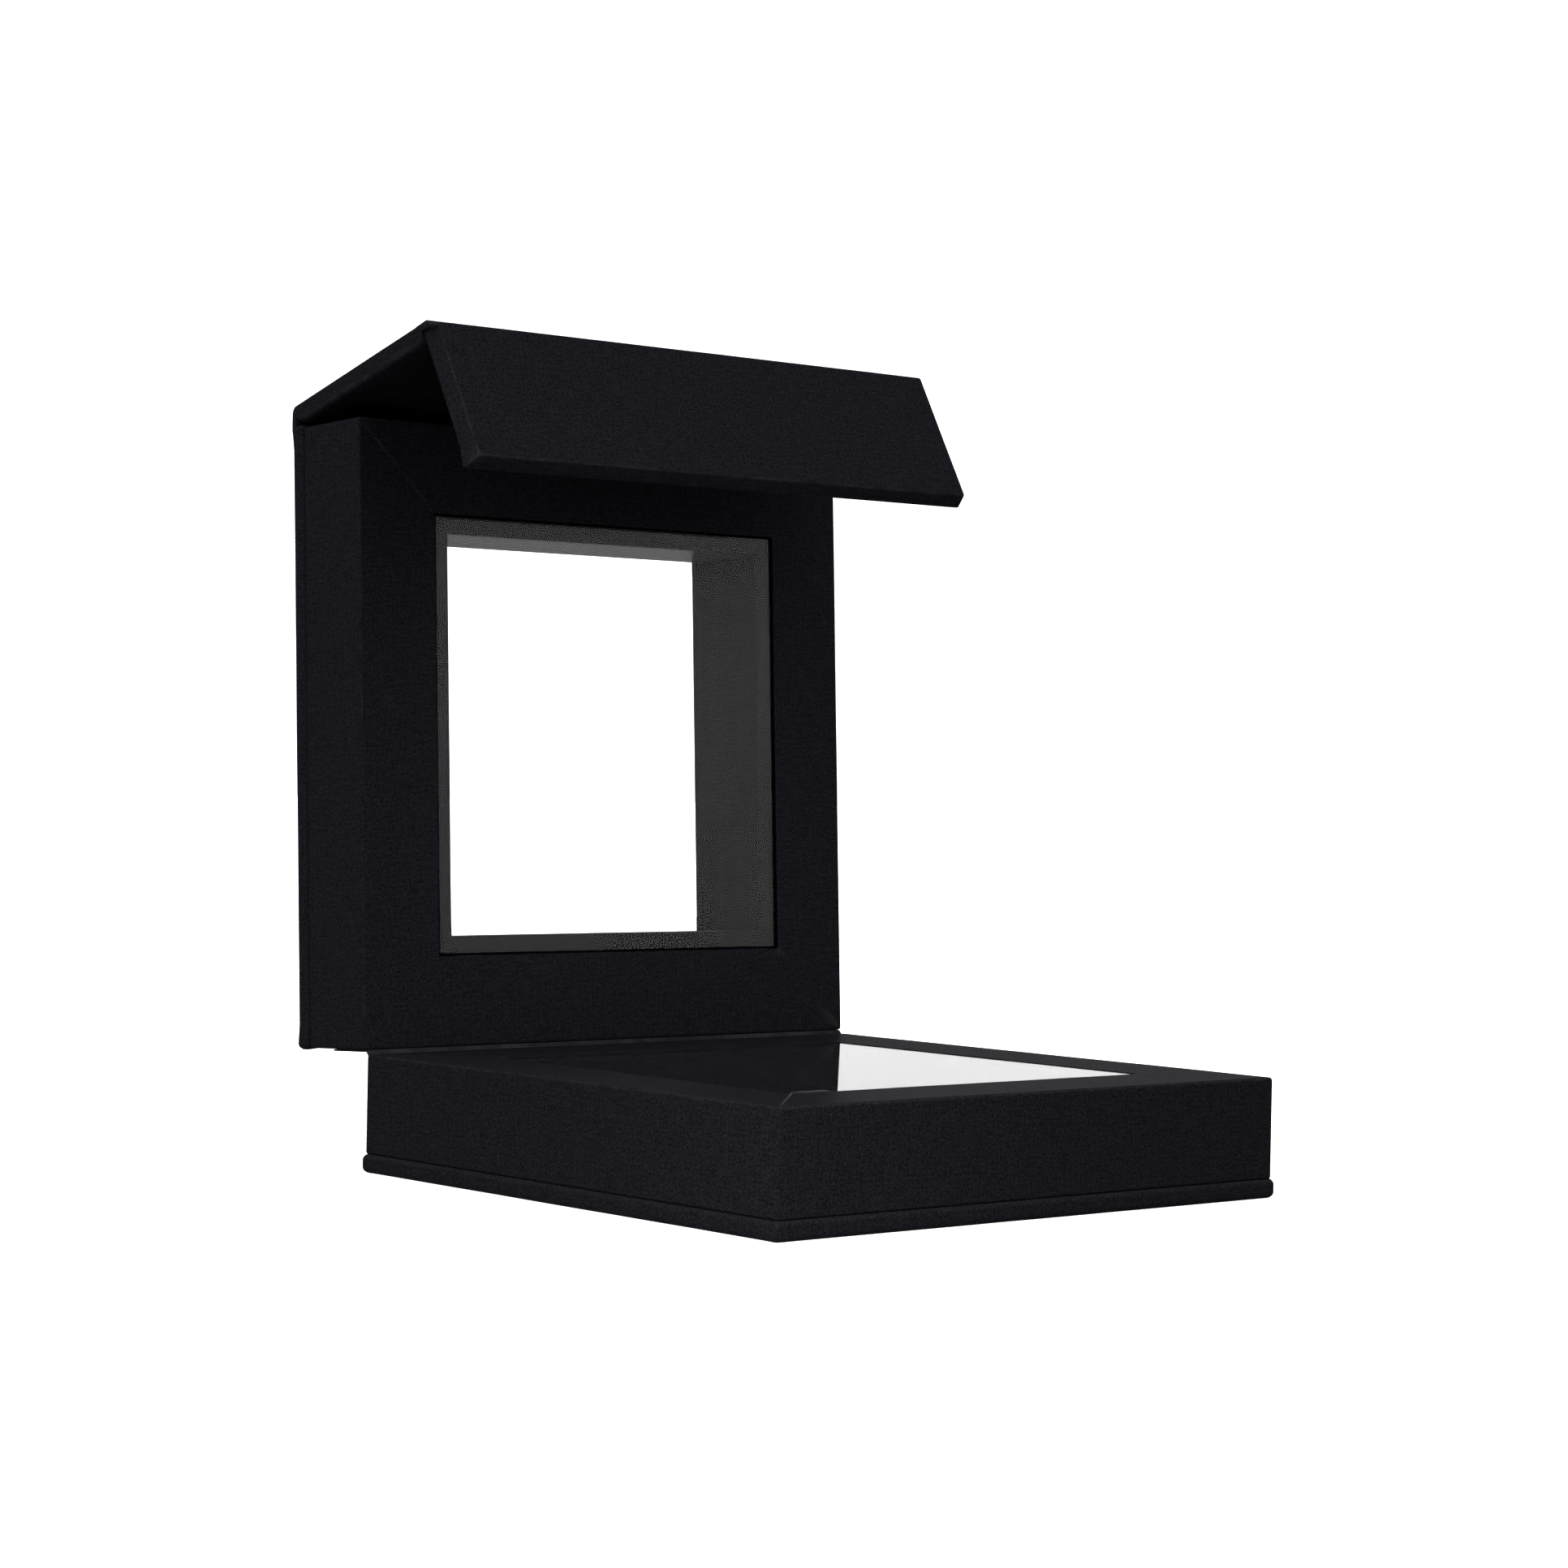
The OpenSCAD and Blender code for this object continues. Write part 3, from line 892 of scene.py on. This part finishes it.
def cover_cloth():
    """Rows of a cover's cloth, from inside its window round to the foot of the walls."""
    rim = COVER_MARGIN - WINDOW_EDGE_R
    outline = [(COVER_MARGIN, COVER_TOP - WRAP_SHORT), (COVER_MARGIN, 2 * WINDOW_EDGE_R)]
    outline += arc((rim, WINDOW_EDGE_R), WINDOW_EDGE_R, 0, -90, WINDOW_EDGE_STEPS)
    outline += [(e, 0) for e in between(rim - FLAT_FROM, COVER_EDGE_R + FLAT_TO, FLAT_STEPS)]
    outline += arc((COVER_EDGE_R, COVER_EDGE_R), COVER_EDGE_R, 270, 180, RIM_STEPS)
    rim_top = COVER_TOP + RIM_FULL
    outline += arc((COVER_EDGE_R, rim_top - COVER_EDGE_R), COVER_EDGE_R, 180, 90, RIM_STEPS)
    outline += [(COVER_EDGE_R + TURN_IN, rim_top)]
    rows = []
    for inset, z in outline:
        loop = cover_loop(inset, max(COVER_CORNER_R - inset, COVER_LEAST_R), SIDE_STEPS)
        rows.append([puffed(x, y, z) for x, y in loop])
    return loft(rows)


faint_wear = functools.partial(plain_marks, share=COVER_WEAR)
for half, place in halves.items():
    cloth = dress(f"{half}_cover_wrap", cover_cloth(), place, BOOKCLOTH, marks=faint_wear)
    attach(cloth, half)
    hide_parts(f"{half}_cover_cloth")
    print(cloth.name, "points:", len(cloth.data.vertices))

# %% [markdown]
# The board inside such a cover has its edges rubbed down, or they would cut through the cloth. So
# the cover boards are drawn again, a cloth's thickness inside their wrap and with round edges.

# %% Boards of the outer covers
BOARD_EDGE_R = 0.65
BOARD_CORNER_R = 0.4
BOARD_CLEAR = 0.02
SECTION_STEPS = (6, 2)
BOARD_STEPS = (4, 4)


def cover_board():
    """A board ring with rounded edges, just inside its cloth."""
    outer = CLOTH_T + BOARD_CLEAR
    inner = (COVER_MARGIN - CLOTH_T - BOARD_CLEAR, COVER_TOP - CLOTH_T - BOARD_CLEAR)
    section = ring((outer, outer), inner, BOARD_EDGE_R, SECTION_STEPS)
    rows = []
    for inset, z in section + section[:1]:
        rows.append([(x, y, z) for x, y in cover_loop(inset, BOARD_CORNER_R, BOARD_STEPS)])
    return loft(rows)


for half, place in halves.items():
    board = dress(f"{half}_cover_core", cover_board(), place, BOARD, relief=0.0, **SLAB)
    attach(board, half)
    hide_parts(f"{half}_cover_board")
print("cover boards drawn with round edges")

# %% [markdown]
# Behind the film, the sides of the window are lined. On each side one covered strip makes the
# card that the film is stretched over, of which a narrow lip shows, and the deep wall that runs
# back through the cover. The four strips meet at mitres, and at each mitre the cloth of one strip
# is turned a little way on to the other, which leaves a thin ragged edge in each corner.

# %% Lining of the window wells
LIP_EDGE_R = 0.6
CARD_CLEAR = 0.05
LIP_REACH = FRAME_W / 2 - CLOTH_T - CARD_CLEAR - CLEAR_HALF
FILM_SEAT = 0.05
MITRE_GAP = 0.03
TAB_W = 2.3
TAB_LIFT = 0.06
TAB_RAGGED = 0.25
TAB_WAVE = 1.7
MITRE_ROWS = (0, 0.05, 0.2, 0.5, 1.0, 1.6, *between(1.9, 3.0, 8), 4.0, 6.0)
PLAIN_FROM = 8
PLAIN_STEPS = 16
TOE_STEPS, WELL_STEPS, LIP_EDGE_STEPS, LIP_STEPS = 4, 10, 5, 4
WELL_FROM = 1.0
WELL_RELIEF = 0.03


def well_section():
    """The strip's outline across: distance outward from the clear window, and height."""
    lip_top, lip_under = card_high.z - FILM_SEAT, card_low.z
    toe = arc((LIP_EDGE_R, LIP_EDGE_R), LIP_EDGE_R, 270, 180, TOE_STEPS)
    inner = toe + [(0, z) for z in between(WELL_FROM, lip_top - 1.5 * LIP_EDGE_R, WELL_STEPS)]
    edge = arc((LIP_EDGE_R, lip_top - LIP_EDGE_R), LIP_EDGE_R, 180, 90, LIP_EDGE_STEPS)
    lip = [(q, lip_top) for q in (*between(1.5 * LIP_EDGE_R, LIP_W, LIP_STEPS), LIP_REACH)]
    under = [(LIP_REACH, lip_under), (LINER_T, lip_under), (LINER_T, 0)]
    return inner + edge + lip + under


def well_strip(quarter):
    """One side's strip, turned to its side of the window."""
    half = CLEAR_HALF
    stations = [e / half - 1 for e in MITRE_ROWS]
    stations += between(PLAIN_FROM / half - 1, 1 - PLAIN_FROM / half, PLAIN_STEPS)
    stations += [1 - e / half for e in reversed(MITRE_ROWS)]
    turn = Matrix.Rotation(math.radians(90 * quarter), 2)
    rows = []
    for share in stations:
        row = []
        for outward, z in well_section():
            along = share * (half + outward - MITRE_GAP)
            from_end = half - abs(share) * half
            under_tab = from_end < TAB_W + TAB_RAGGED * math.sin(z / TAB_WAVE)
            tab = TAB_LIFT if quarter % 2 == 0 and outward < LIP_EDGE_R and under_tab else 0.0
            flat = turn @ Vector((half + outward - tab, along))
            row.append((flat.x, flat.y - FRAME_H / 2, z))
        rows.append(row)
    return loft(rows, capped=True)


SIDES = ("right", "rear", "left", "front")
for half, place in halves.items():
    for quarter, side in enumerate(SIDES):
        name = f"{half}_well_{side}"
        shape = well_strip(quarter)
        strip = dress(name, shape, place, WELL_CLOTH, relief=WELL_RELIEF, **SLAB)
        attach(strip, half)
        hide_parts(f"{half}_liner_{side}", f"{half}_face_card")
print("well strips:", 2 * len(SIDES))

# %% [markdown]
# The film is cut as large as the face card, laid over it and held by the cloth that is pasted on
# top. It is a sheet like the cloth, so it is drawn as one: a thin closed slab with many points.
# Tension pulls it flat, but never quite, and the tiny waves bend the edge of what it mirrors. The
# base's film has sprung up under its cloth and lies almost level with the face.

# %% Films across the windows
FILM_HALF = film_high.x
FILM_WAVE = 0.006
FILM_WAVE_LENGTH = 17.0
FILM_STEPS = (48, 48)
FILM_CORNER_R = 0.2
FILM_MIDDLE = 0.5
FILM_RIM = 1.0
FILM_BAND = 2.0
FILM_ROWS, FILM_EDGE_STEPS = 22, 6
WAVE_SLICE = 3
TAUT_RISE = {"base": 0.27, "lid": 0.0}


def film_sheet(rise):
    """Rows of the film, from the middle of its underside round its edge to the middle of its top."""
    thick = film_high.z - film_low.z
    edge = thick / 2
    insets = [FILM_HALF - FILM_MIDDLE, *between(FILM_HALF - FILM_BAND, FILM_BAND, FILM_ROWS), FILM_RIM]
    outline = [(inset, film_low.z) for inset in insets]
    outline += arc((edge, film_low.z + edge), edge, 270, 90, FILM_EDGE_STEPS)
    outline += [(inset, film_high.z) for inset in reversed(insets)]
    rows = []
    for inset, z in outline:
        reach = FILM_HALF - inset
        row = []
        for x, y in ring((-reach, -reach), (reach, reach), FILM_CORNER_R, FILM_STEPS):
            wave = FILM_WAVE * noise.noise(Vector((x, y, WAVE_SLICE)) / FILM_WAVE_LENGTH)
            row.append((x, y - FRAME_H / 2, z + rise + wave))
        rows.append(row)
    points, faces = loft(rows)
    count = len(rows[0])
    for first, way in ((0, -1), (len(points) - count, 1)):
        loop = list(range(first, first + count))[::way]
        faces += [(a, b, len(points)) for a, b in zip(loop, loop[1:] + loop[:1])]
        points.append((0, -FRAME_H / 2, points[first][2]))
    return points, faces


for half, place in halves.items():
    shape = film_sheet(TAUT_RISE[half])
    sheet = dress(f"{half}_window_film", shape, place, FILM, relief=0.0, **SLAB)
    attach(sheet, half)
    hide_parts(f"{half}_film")

# %% [markdown]
# The flap's two panels are boards wrapped in cloth. Here the loft runs along the hinge: each row
# is the panel's cross-section, and near both ends the section shrinks along a quarter circle, so
# that the ends are as round as the long edges. The outer edges are crisp and the inner ones soft.
# The closing panel is handled most: its turned-in cloth makes it fuller, and its edges slope.

# %% Section of a wrapped panel
PANEL_EDGE_R = 0.45
PANEL_CORNER_R = 0.2
PANEL_LEAST_R = 0.04
FULL_OUT = 0.3
FULL_IN = 0.2
ENDS_ASKEW = 0.5
EDGE_SLOPE = 0.6
SLOPE_REACH = 3.0
CORNER_PUFF = 0.7
FLAP_HALF = box_mm("spine_cloth")[1].x
PANEL_STEPS = (18, 2)
TIP_ROWS = (0, 0.01, 0.03, 0.07, 0.13, 0.2, 0.3, 0.4, 0.55, 0.7, 0.85, 1.0, 1.2, 1.5)
TIP_REACH = 2.5
PANEL_ROWS = 40


def quarter_round(radius, distance):
    """How far a rounded corner falls back at a distance from its tip."""
    gap = max(0.0, radius - distance)
    return radius - math.sqrt(radius**2 - gap**2)


def askew(x, y, z, end, fuller):
    """A point of the closing panel, moved because its edges slope and its left end isn't square."""
    inward = min(1.0, max(0.0, (z + JOINT_R) / FLAP_T))
    rightness = (x + FLAP_HALF) / (2 * FLAP_HALF)
    left_shift = ENDS_ASKEW - inward * (ENDS_ASKEW + FULL_IN)
    nearness = max(0.0, 1 - (y + end) / SLOPE_REACH)
    along = rightness * ENDS_ASKEW + (1 - rightness) * left_shift
    tipness = max(0.0, 1 - (FLAP_HALF - abs(x)) / SLOPE_REACH)
    along += math.copysign(CORNER_PUFF * inward * nearness * tipness, x)
    return x + fuller * along, y - fuller * EDGE_SLOPE * inward * nearness, z


def wrapped_panel(start, end, fuller, inner_r, within=0.0):
    """A panel between two distances from its own bend line. Fuller is 1 for the closing panel."""
    half = FLAP_HALF - within
    middle = between(TIP_REACH, 2 * half - TIP_REACH, PANEL_ROWS)
    stations = [*TIP_ROWS, *middle, *(2 * half - t for t in reversed(TIP_ROWS))]
    rows = []
    for across in stations:
        from_tip = min(across, 2 * half - across)
        outer = quarter_round(PANEL_EDGE_R, from_tip)
        inner = quarter_round(inner_r, from_tip)
        corner = quarter_round(PANEL_CORNER_R, from_tip)
        low = (max(outer, corner) + within - end, outer + within - JOINT_R - fuller * FULL_OUT)
        high = (-start - outer - within, FLAP_T - JOINT_R - inner + FULL_IN - within)
        soft = max(inner_r - inner, PANEL_LEAST_R)
        crisp = max(PANEL_EDGE_R - outer, PANEL_LEAST_R)
        section = ring(low, high, (soft, soft, crisp, crisp), PANEL_STEPS)
        rows.append([askew(across - half, y, z, end, fuller) for y, z in section])
    return loft(rows, capped=True)


print("rows along a panel:", 2 * len(TIP_ROWS) + PANEL_ROWS + 1)

# %% [markdown]
# The flap hangs a little twisted, so the left end of its fold line is pulled out and up. `pulled`
# moves the points of anything on the flap, so the cloth, its lining and the board inside stay
# together. The boards are drawn again, a cloth's thickness inside their wrap, as in the covers.

# %% Wrapped panels of the flap
CORE_IN = 0.55
FOLD_TUCK = 0.4
PULL_OUT = 0.9
PULL_UP = 0.45
SPINE_SOFT_R = 1.5
CLOSING_SOFT_R = 0.5


def pulled(shape, closing=False):
    """A shape of the flap, with the left end of its fold line pulled out and up."""
    outward = Vector((0, 0, -1))
    if closing:
        outward = ((CLOSING.inverted() @ SPINE).to_3x3() @ outward).normalized()
    points = []
    for x, y, z in shape[0]:
        share = 1 + y / CLOSING_END if closing else -y / SPINE_LEN
        share = min(1.0, max(0.0, share))
        leftness = min(1.0, max(0.0, 0.5 - x / (2 * FLAP_HALF)))
        moved = Vector((x, y, z)) + outward * PULL_UP * share * leftness
        moved.x -= 0.0 if closing else PULL_OUT * share * leftness**3
        points.append(tuple(moved))
    return points, shape[1]


panels = {
    "spine": ("spine_panel", SPINE, PANEL_START, SPINE_END + FOLD_TUCK, 0, SPINE_SOFT_R),
    "closing": ("closing_panel", CLOSING, PANEL_START - FOLD_TUCK, CLOSING_END, 1, CLOSING_SOFT_R),
}
for name, (body, place, start, end, fuller, inner_r) in panels.items():
    shape = pulled(wrapped_panel(start, end, fuller, inner_r), name == "closing")
    cloth = dress(f"{name}_cover", shape, place, BOOKCLOTH, closed=True)
    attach(cloth, body)
    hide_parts(f"{name}_cloth")
    core = pulled(wrapped_panel(start, end, fuller, inner_r, within=CORE_IN), name == "closing")
    board = dress(f"{name}_core", core, place, BOARD, relief=0.0, **SLAB)
    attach(board, body)
    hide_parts(f"{name}_board")
    print(cloth.name, "points:", len(cloth.data.vertices))

# %% [markdown]
# The inside of each panel has a lining pasted over the turned-in edges. It stops short of the
# edge all round, so a narrow frame of the outer cloth shows. Hands don't reach it, so it has no wear.

# %% Linings inside the flap
LINING_INSET = 3.0
LINING_T = 0.3
LINING_PROUD = 0.06
LINING_EDGE = ((0.0, LINING_T), (0.0, 0.12), (0.04, 0.03), (0.12, 0), (0.6, 0), (2.0, 0), (4.5, 0))
LINING_CORNER_R = 0.8
LINING_STEPS = (36, 10)
LINING_RELIEF = 0.03


def lining_sheet(start, end):
    """A thin pasted sheet with soft edges and small round corners."""
    top = FLAP_T - JOINT_R + LINING_PROUD + FULL_IN
    rows = []
    for inset, depth in LINING_EDGE:
        d = LINING_INSET + inset
        low = (d - FLAP_HALF, d - end)
        high = (FLAP_HALF - d, -start - d)
        loop = ring(low, high, LINING_CORNER_R, LINING_STEPS)
        rows.append([(x, y, top - depth) for x, y in loop])
    return loft(rows, capped=True)


unmarked = functools.partial(plain_marks, share=0.0)
for name, (body, place, start, end, _, _) in panels.items():
    shape = pulled(lining_sheet(start, end), name == "closing")
    look = {"relief": LINING_RELIEF, "marks": unmarked, **SLAB}
    sheet = dress(f"{name}_inner_lining", shape, place, LINING, **look)
    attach(sheet, body)
    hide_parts(f"{name}_lining")

# %% [markdown]
# Between the boards, the cloth alone is the hinge. Each joint is a strip that leaves one board's
# outer face, bends softly and lands on the next. The strip is made in its photographed bend. Both
# strips are only a few millimetres of cloth from board to board.

# %% Strips that bend
BEND_R = 1.0
START_ROWS = 6
BEND_ROWS = 10
END_ROWS = 4
STRIP_STEPS = (40, 1)
STRIP_EDGE_R = 0.25
ROUND_SHARE = 2.5


def bent_path(start_y, turn, end_y, axis, rise):
    """Outer points and normals of a strip that bends round an axis, in the first body's frame."""
    swing = Matrix.Rotation(math.radians(-turn), 2)
    first, second = Vector((0, -1)), swing @ Vector((0, -1))
    spread = (first + second) / (1 + first.dot(second))
    centre = axis + (JOINT_R - BEND_R) * spread
    path = [(Vector((y, axis.y - JOINT_R)), first) for y in between(start_y, centre.x, START_ROWS)]
    for k in range(1, BEND_ROWS + 1):
        normal = Matrix.Rotation(math.radians(-turn * k / BEND_ROWS), 2) @ first
        path.append((centre + BEND_R * normal, normal))
    last = axis + swing @ Vector((end_y, -JOINT_R - rise))
    here = path[-1][0]
    return path + [(here.lerp(last, k / END_ROWS), second) for k in range(1, END_ROWS + 1)]


def strip_along(path, x_half, thickness, ends=(0.0, 0.0)):
    """A strip of cloth whose outer side follows a path. Half way along, its two ends are longer."""
    rows = []
    for k, (point, normal) in enumerate(path):
        middleness = math.sin(math.pi * k / (len(path) - 1)) ** 2
        left, right = [x_half + middleness * end for end in ends]
        edge = min(STRIP_EDGE_R, thickness / ROUND_SHARE)
        loop = ring((-left, -thickness), (right, 0), edge, STRIP_STEPS)
        rows.append([(x, *(point + normal * h)) for x, h in loop])
    return loft(rows, capped=True)


def world_point(place, flat):
    """A point of a section, in metres, in the middle of the case."""
    return place @ Vector((0, *flat))


print("rows from board to board:", START_ROWS + 1 + BEND_ROWS + END_ROWS)

# %% [markdown]
# The flap has two such joints: one at the top edge of the lid's cover and one at the fold between
# its panels. The fold's cloth is drawn in at its right end and reaches out at its left end, because
# the flap hangs twisted.

# %% Cloth joints of the flap
JOINT_T = 1.2
FLAP_ENDS = (-0.15, -0.15)
FOLD_ENDS = (0.1, -0.9)
flap_axis_yz = Vector((FLAP_AXIS_Y, JOINT_R))
fold_axis_yz = Vector((-SPINE_LEN, 0))
landing = -PANEL_START - PANEL_EDGE_R
flap_path = bent_path(COVER_EDGE_R - FRAME_H - OVERHANG, SPINE_TURN, landing, flap_axis_yz, 0.0)
fold_path = bent_path(PANEL_EDGE_R - SPINE_END, CLOSING_TURN, landing, fold_axis_yz, FULL_OUT)
strips = (
    ("flap_joint_cloth", flap_path, LID, "lid", "spine_panel", cover_high.x, FLAP_ENDS),
    ("fold_joint_cloth", fold_path, SPINE, "spine_panel", "closing_panel", FLAP_HALF, FOLD_ENDS),
)
for name, path, place, first, second, x_half, ends in strips:
    shape = strip_along(path, x_half, JOINT_T, ends)
    if first == "spine_panel":
        shape = pulled(shape)
    strip = dress(name, shape, place, BOOKCLOTH, relief=0.0, **SLAB)
    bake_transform(strip)
    length = sum((b[0] - a[0]).length for a, b in zip(path, path[1:]))
    print(name, f"{length:.1f} mm of cloth across the joint")

# %% [markdown]
# The hinge between the halves bends along two lines, one at the edge of each half, with a narrow
# strip between them. So it is made in two pieces that meet in the middle of that strip: the lower
# one is pasted to the back wall of the base, the upper one to the wall of the lid.

# %% Cloth hinge between the halves
LEAF_H = 9.0
HINGE_HALF = box_mm("hinge_cloth")[1].x
HINGE_T = 0.3
HINGE_RISE = 0.2
WALL_CLEAR = 0.05
BELOW_BEND = 0.4
BLEND_BELOW = 0.5
LEAF_ROWS = 8
MIDDLE_ROWS = 4


def leaf_path():
    """Middle line of half the hinge: up the wall, round the bend and on to the middle of the strip."""
    wall_y = HINGE_T / 2 + WALL_CLEAR
    lean = math.radians(HALF_OPEN)
    strip = Vector((math.sin(lean), math.cos(lean)))
    rise = Vector((-strip.y, strip.x)) * HINGE_RISE
    axis = Vector((HINGE_BACK, BEND_Z)) + rise
    middle = axis + strip * STRIP_W / 2
    path = [Vector((wall_y, z)) for z in between(BEND_Z - LEAF_H, BEND_Z - BELOW_BEND, LEAF_ROWS)]
    return path + [axis.lerp(middle, k / MIDDLE_ROWS) for k in range(MIDDLE_ROWS + 1)]


def hinge_leaf():
    """Half of the hinge cloth, drawn on the base."""
    line = leaf_path()
    path = []
    for k, point in enumerate(line):
        along = (line[min(k + 1, len(line) - 1)] - line[max(k - 1, 0)]).normalized()
        normal = Vector((along.y, -along.x))
        path.append((point + normal * HINGE_T / 2, normal))
    return strip_along(path, HINGE_HALF, HINGE_T)


leaves = (
    ("hinge_lower_cloth", BASE, "base", ("base_hinge_leaf", "hinge_cloth")),
    ("hinge_upper_cloth", LID, "lid", ("lid_hinge_leaf",)),
)
for name, place, half, nodes in leaves:
    leaf = dress(name, hinge_leaf(), place, BOOKCLOTH, relief=0.0, **SLAB)
    start = world_point(place, (HINGE_BACK, BEND_Z - BLEND_BELOW))
    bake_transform(leaf)
    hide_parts(*nodes)
    print(name, "bends between", half, "and the strip")

# %% [markdown]
# The dressed case may stand a little proud of its construction, as cloth does, but it must not
# grow. The two boxes are written down so that they can be compared.

# %% Compare the sizes and finish
import json

visual_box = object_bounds()
growth = [round((v - c) / MM, 2) for a, b in zip(cad_box, visual_box) for c, v in zip(a, b)]
print("grown by, in mm:", growth)
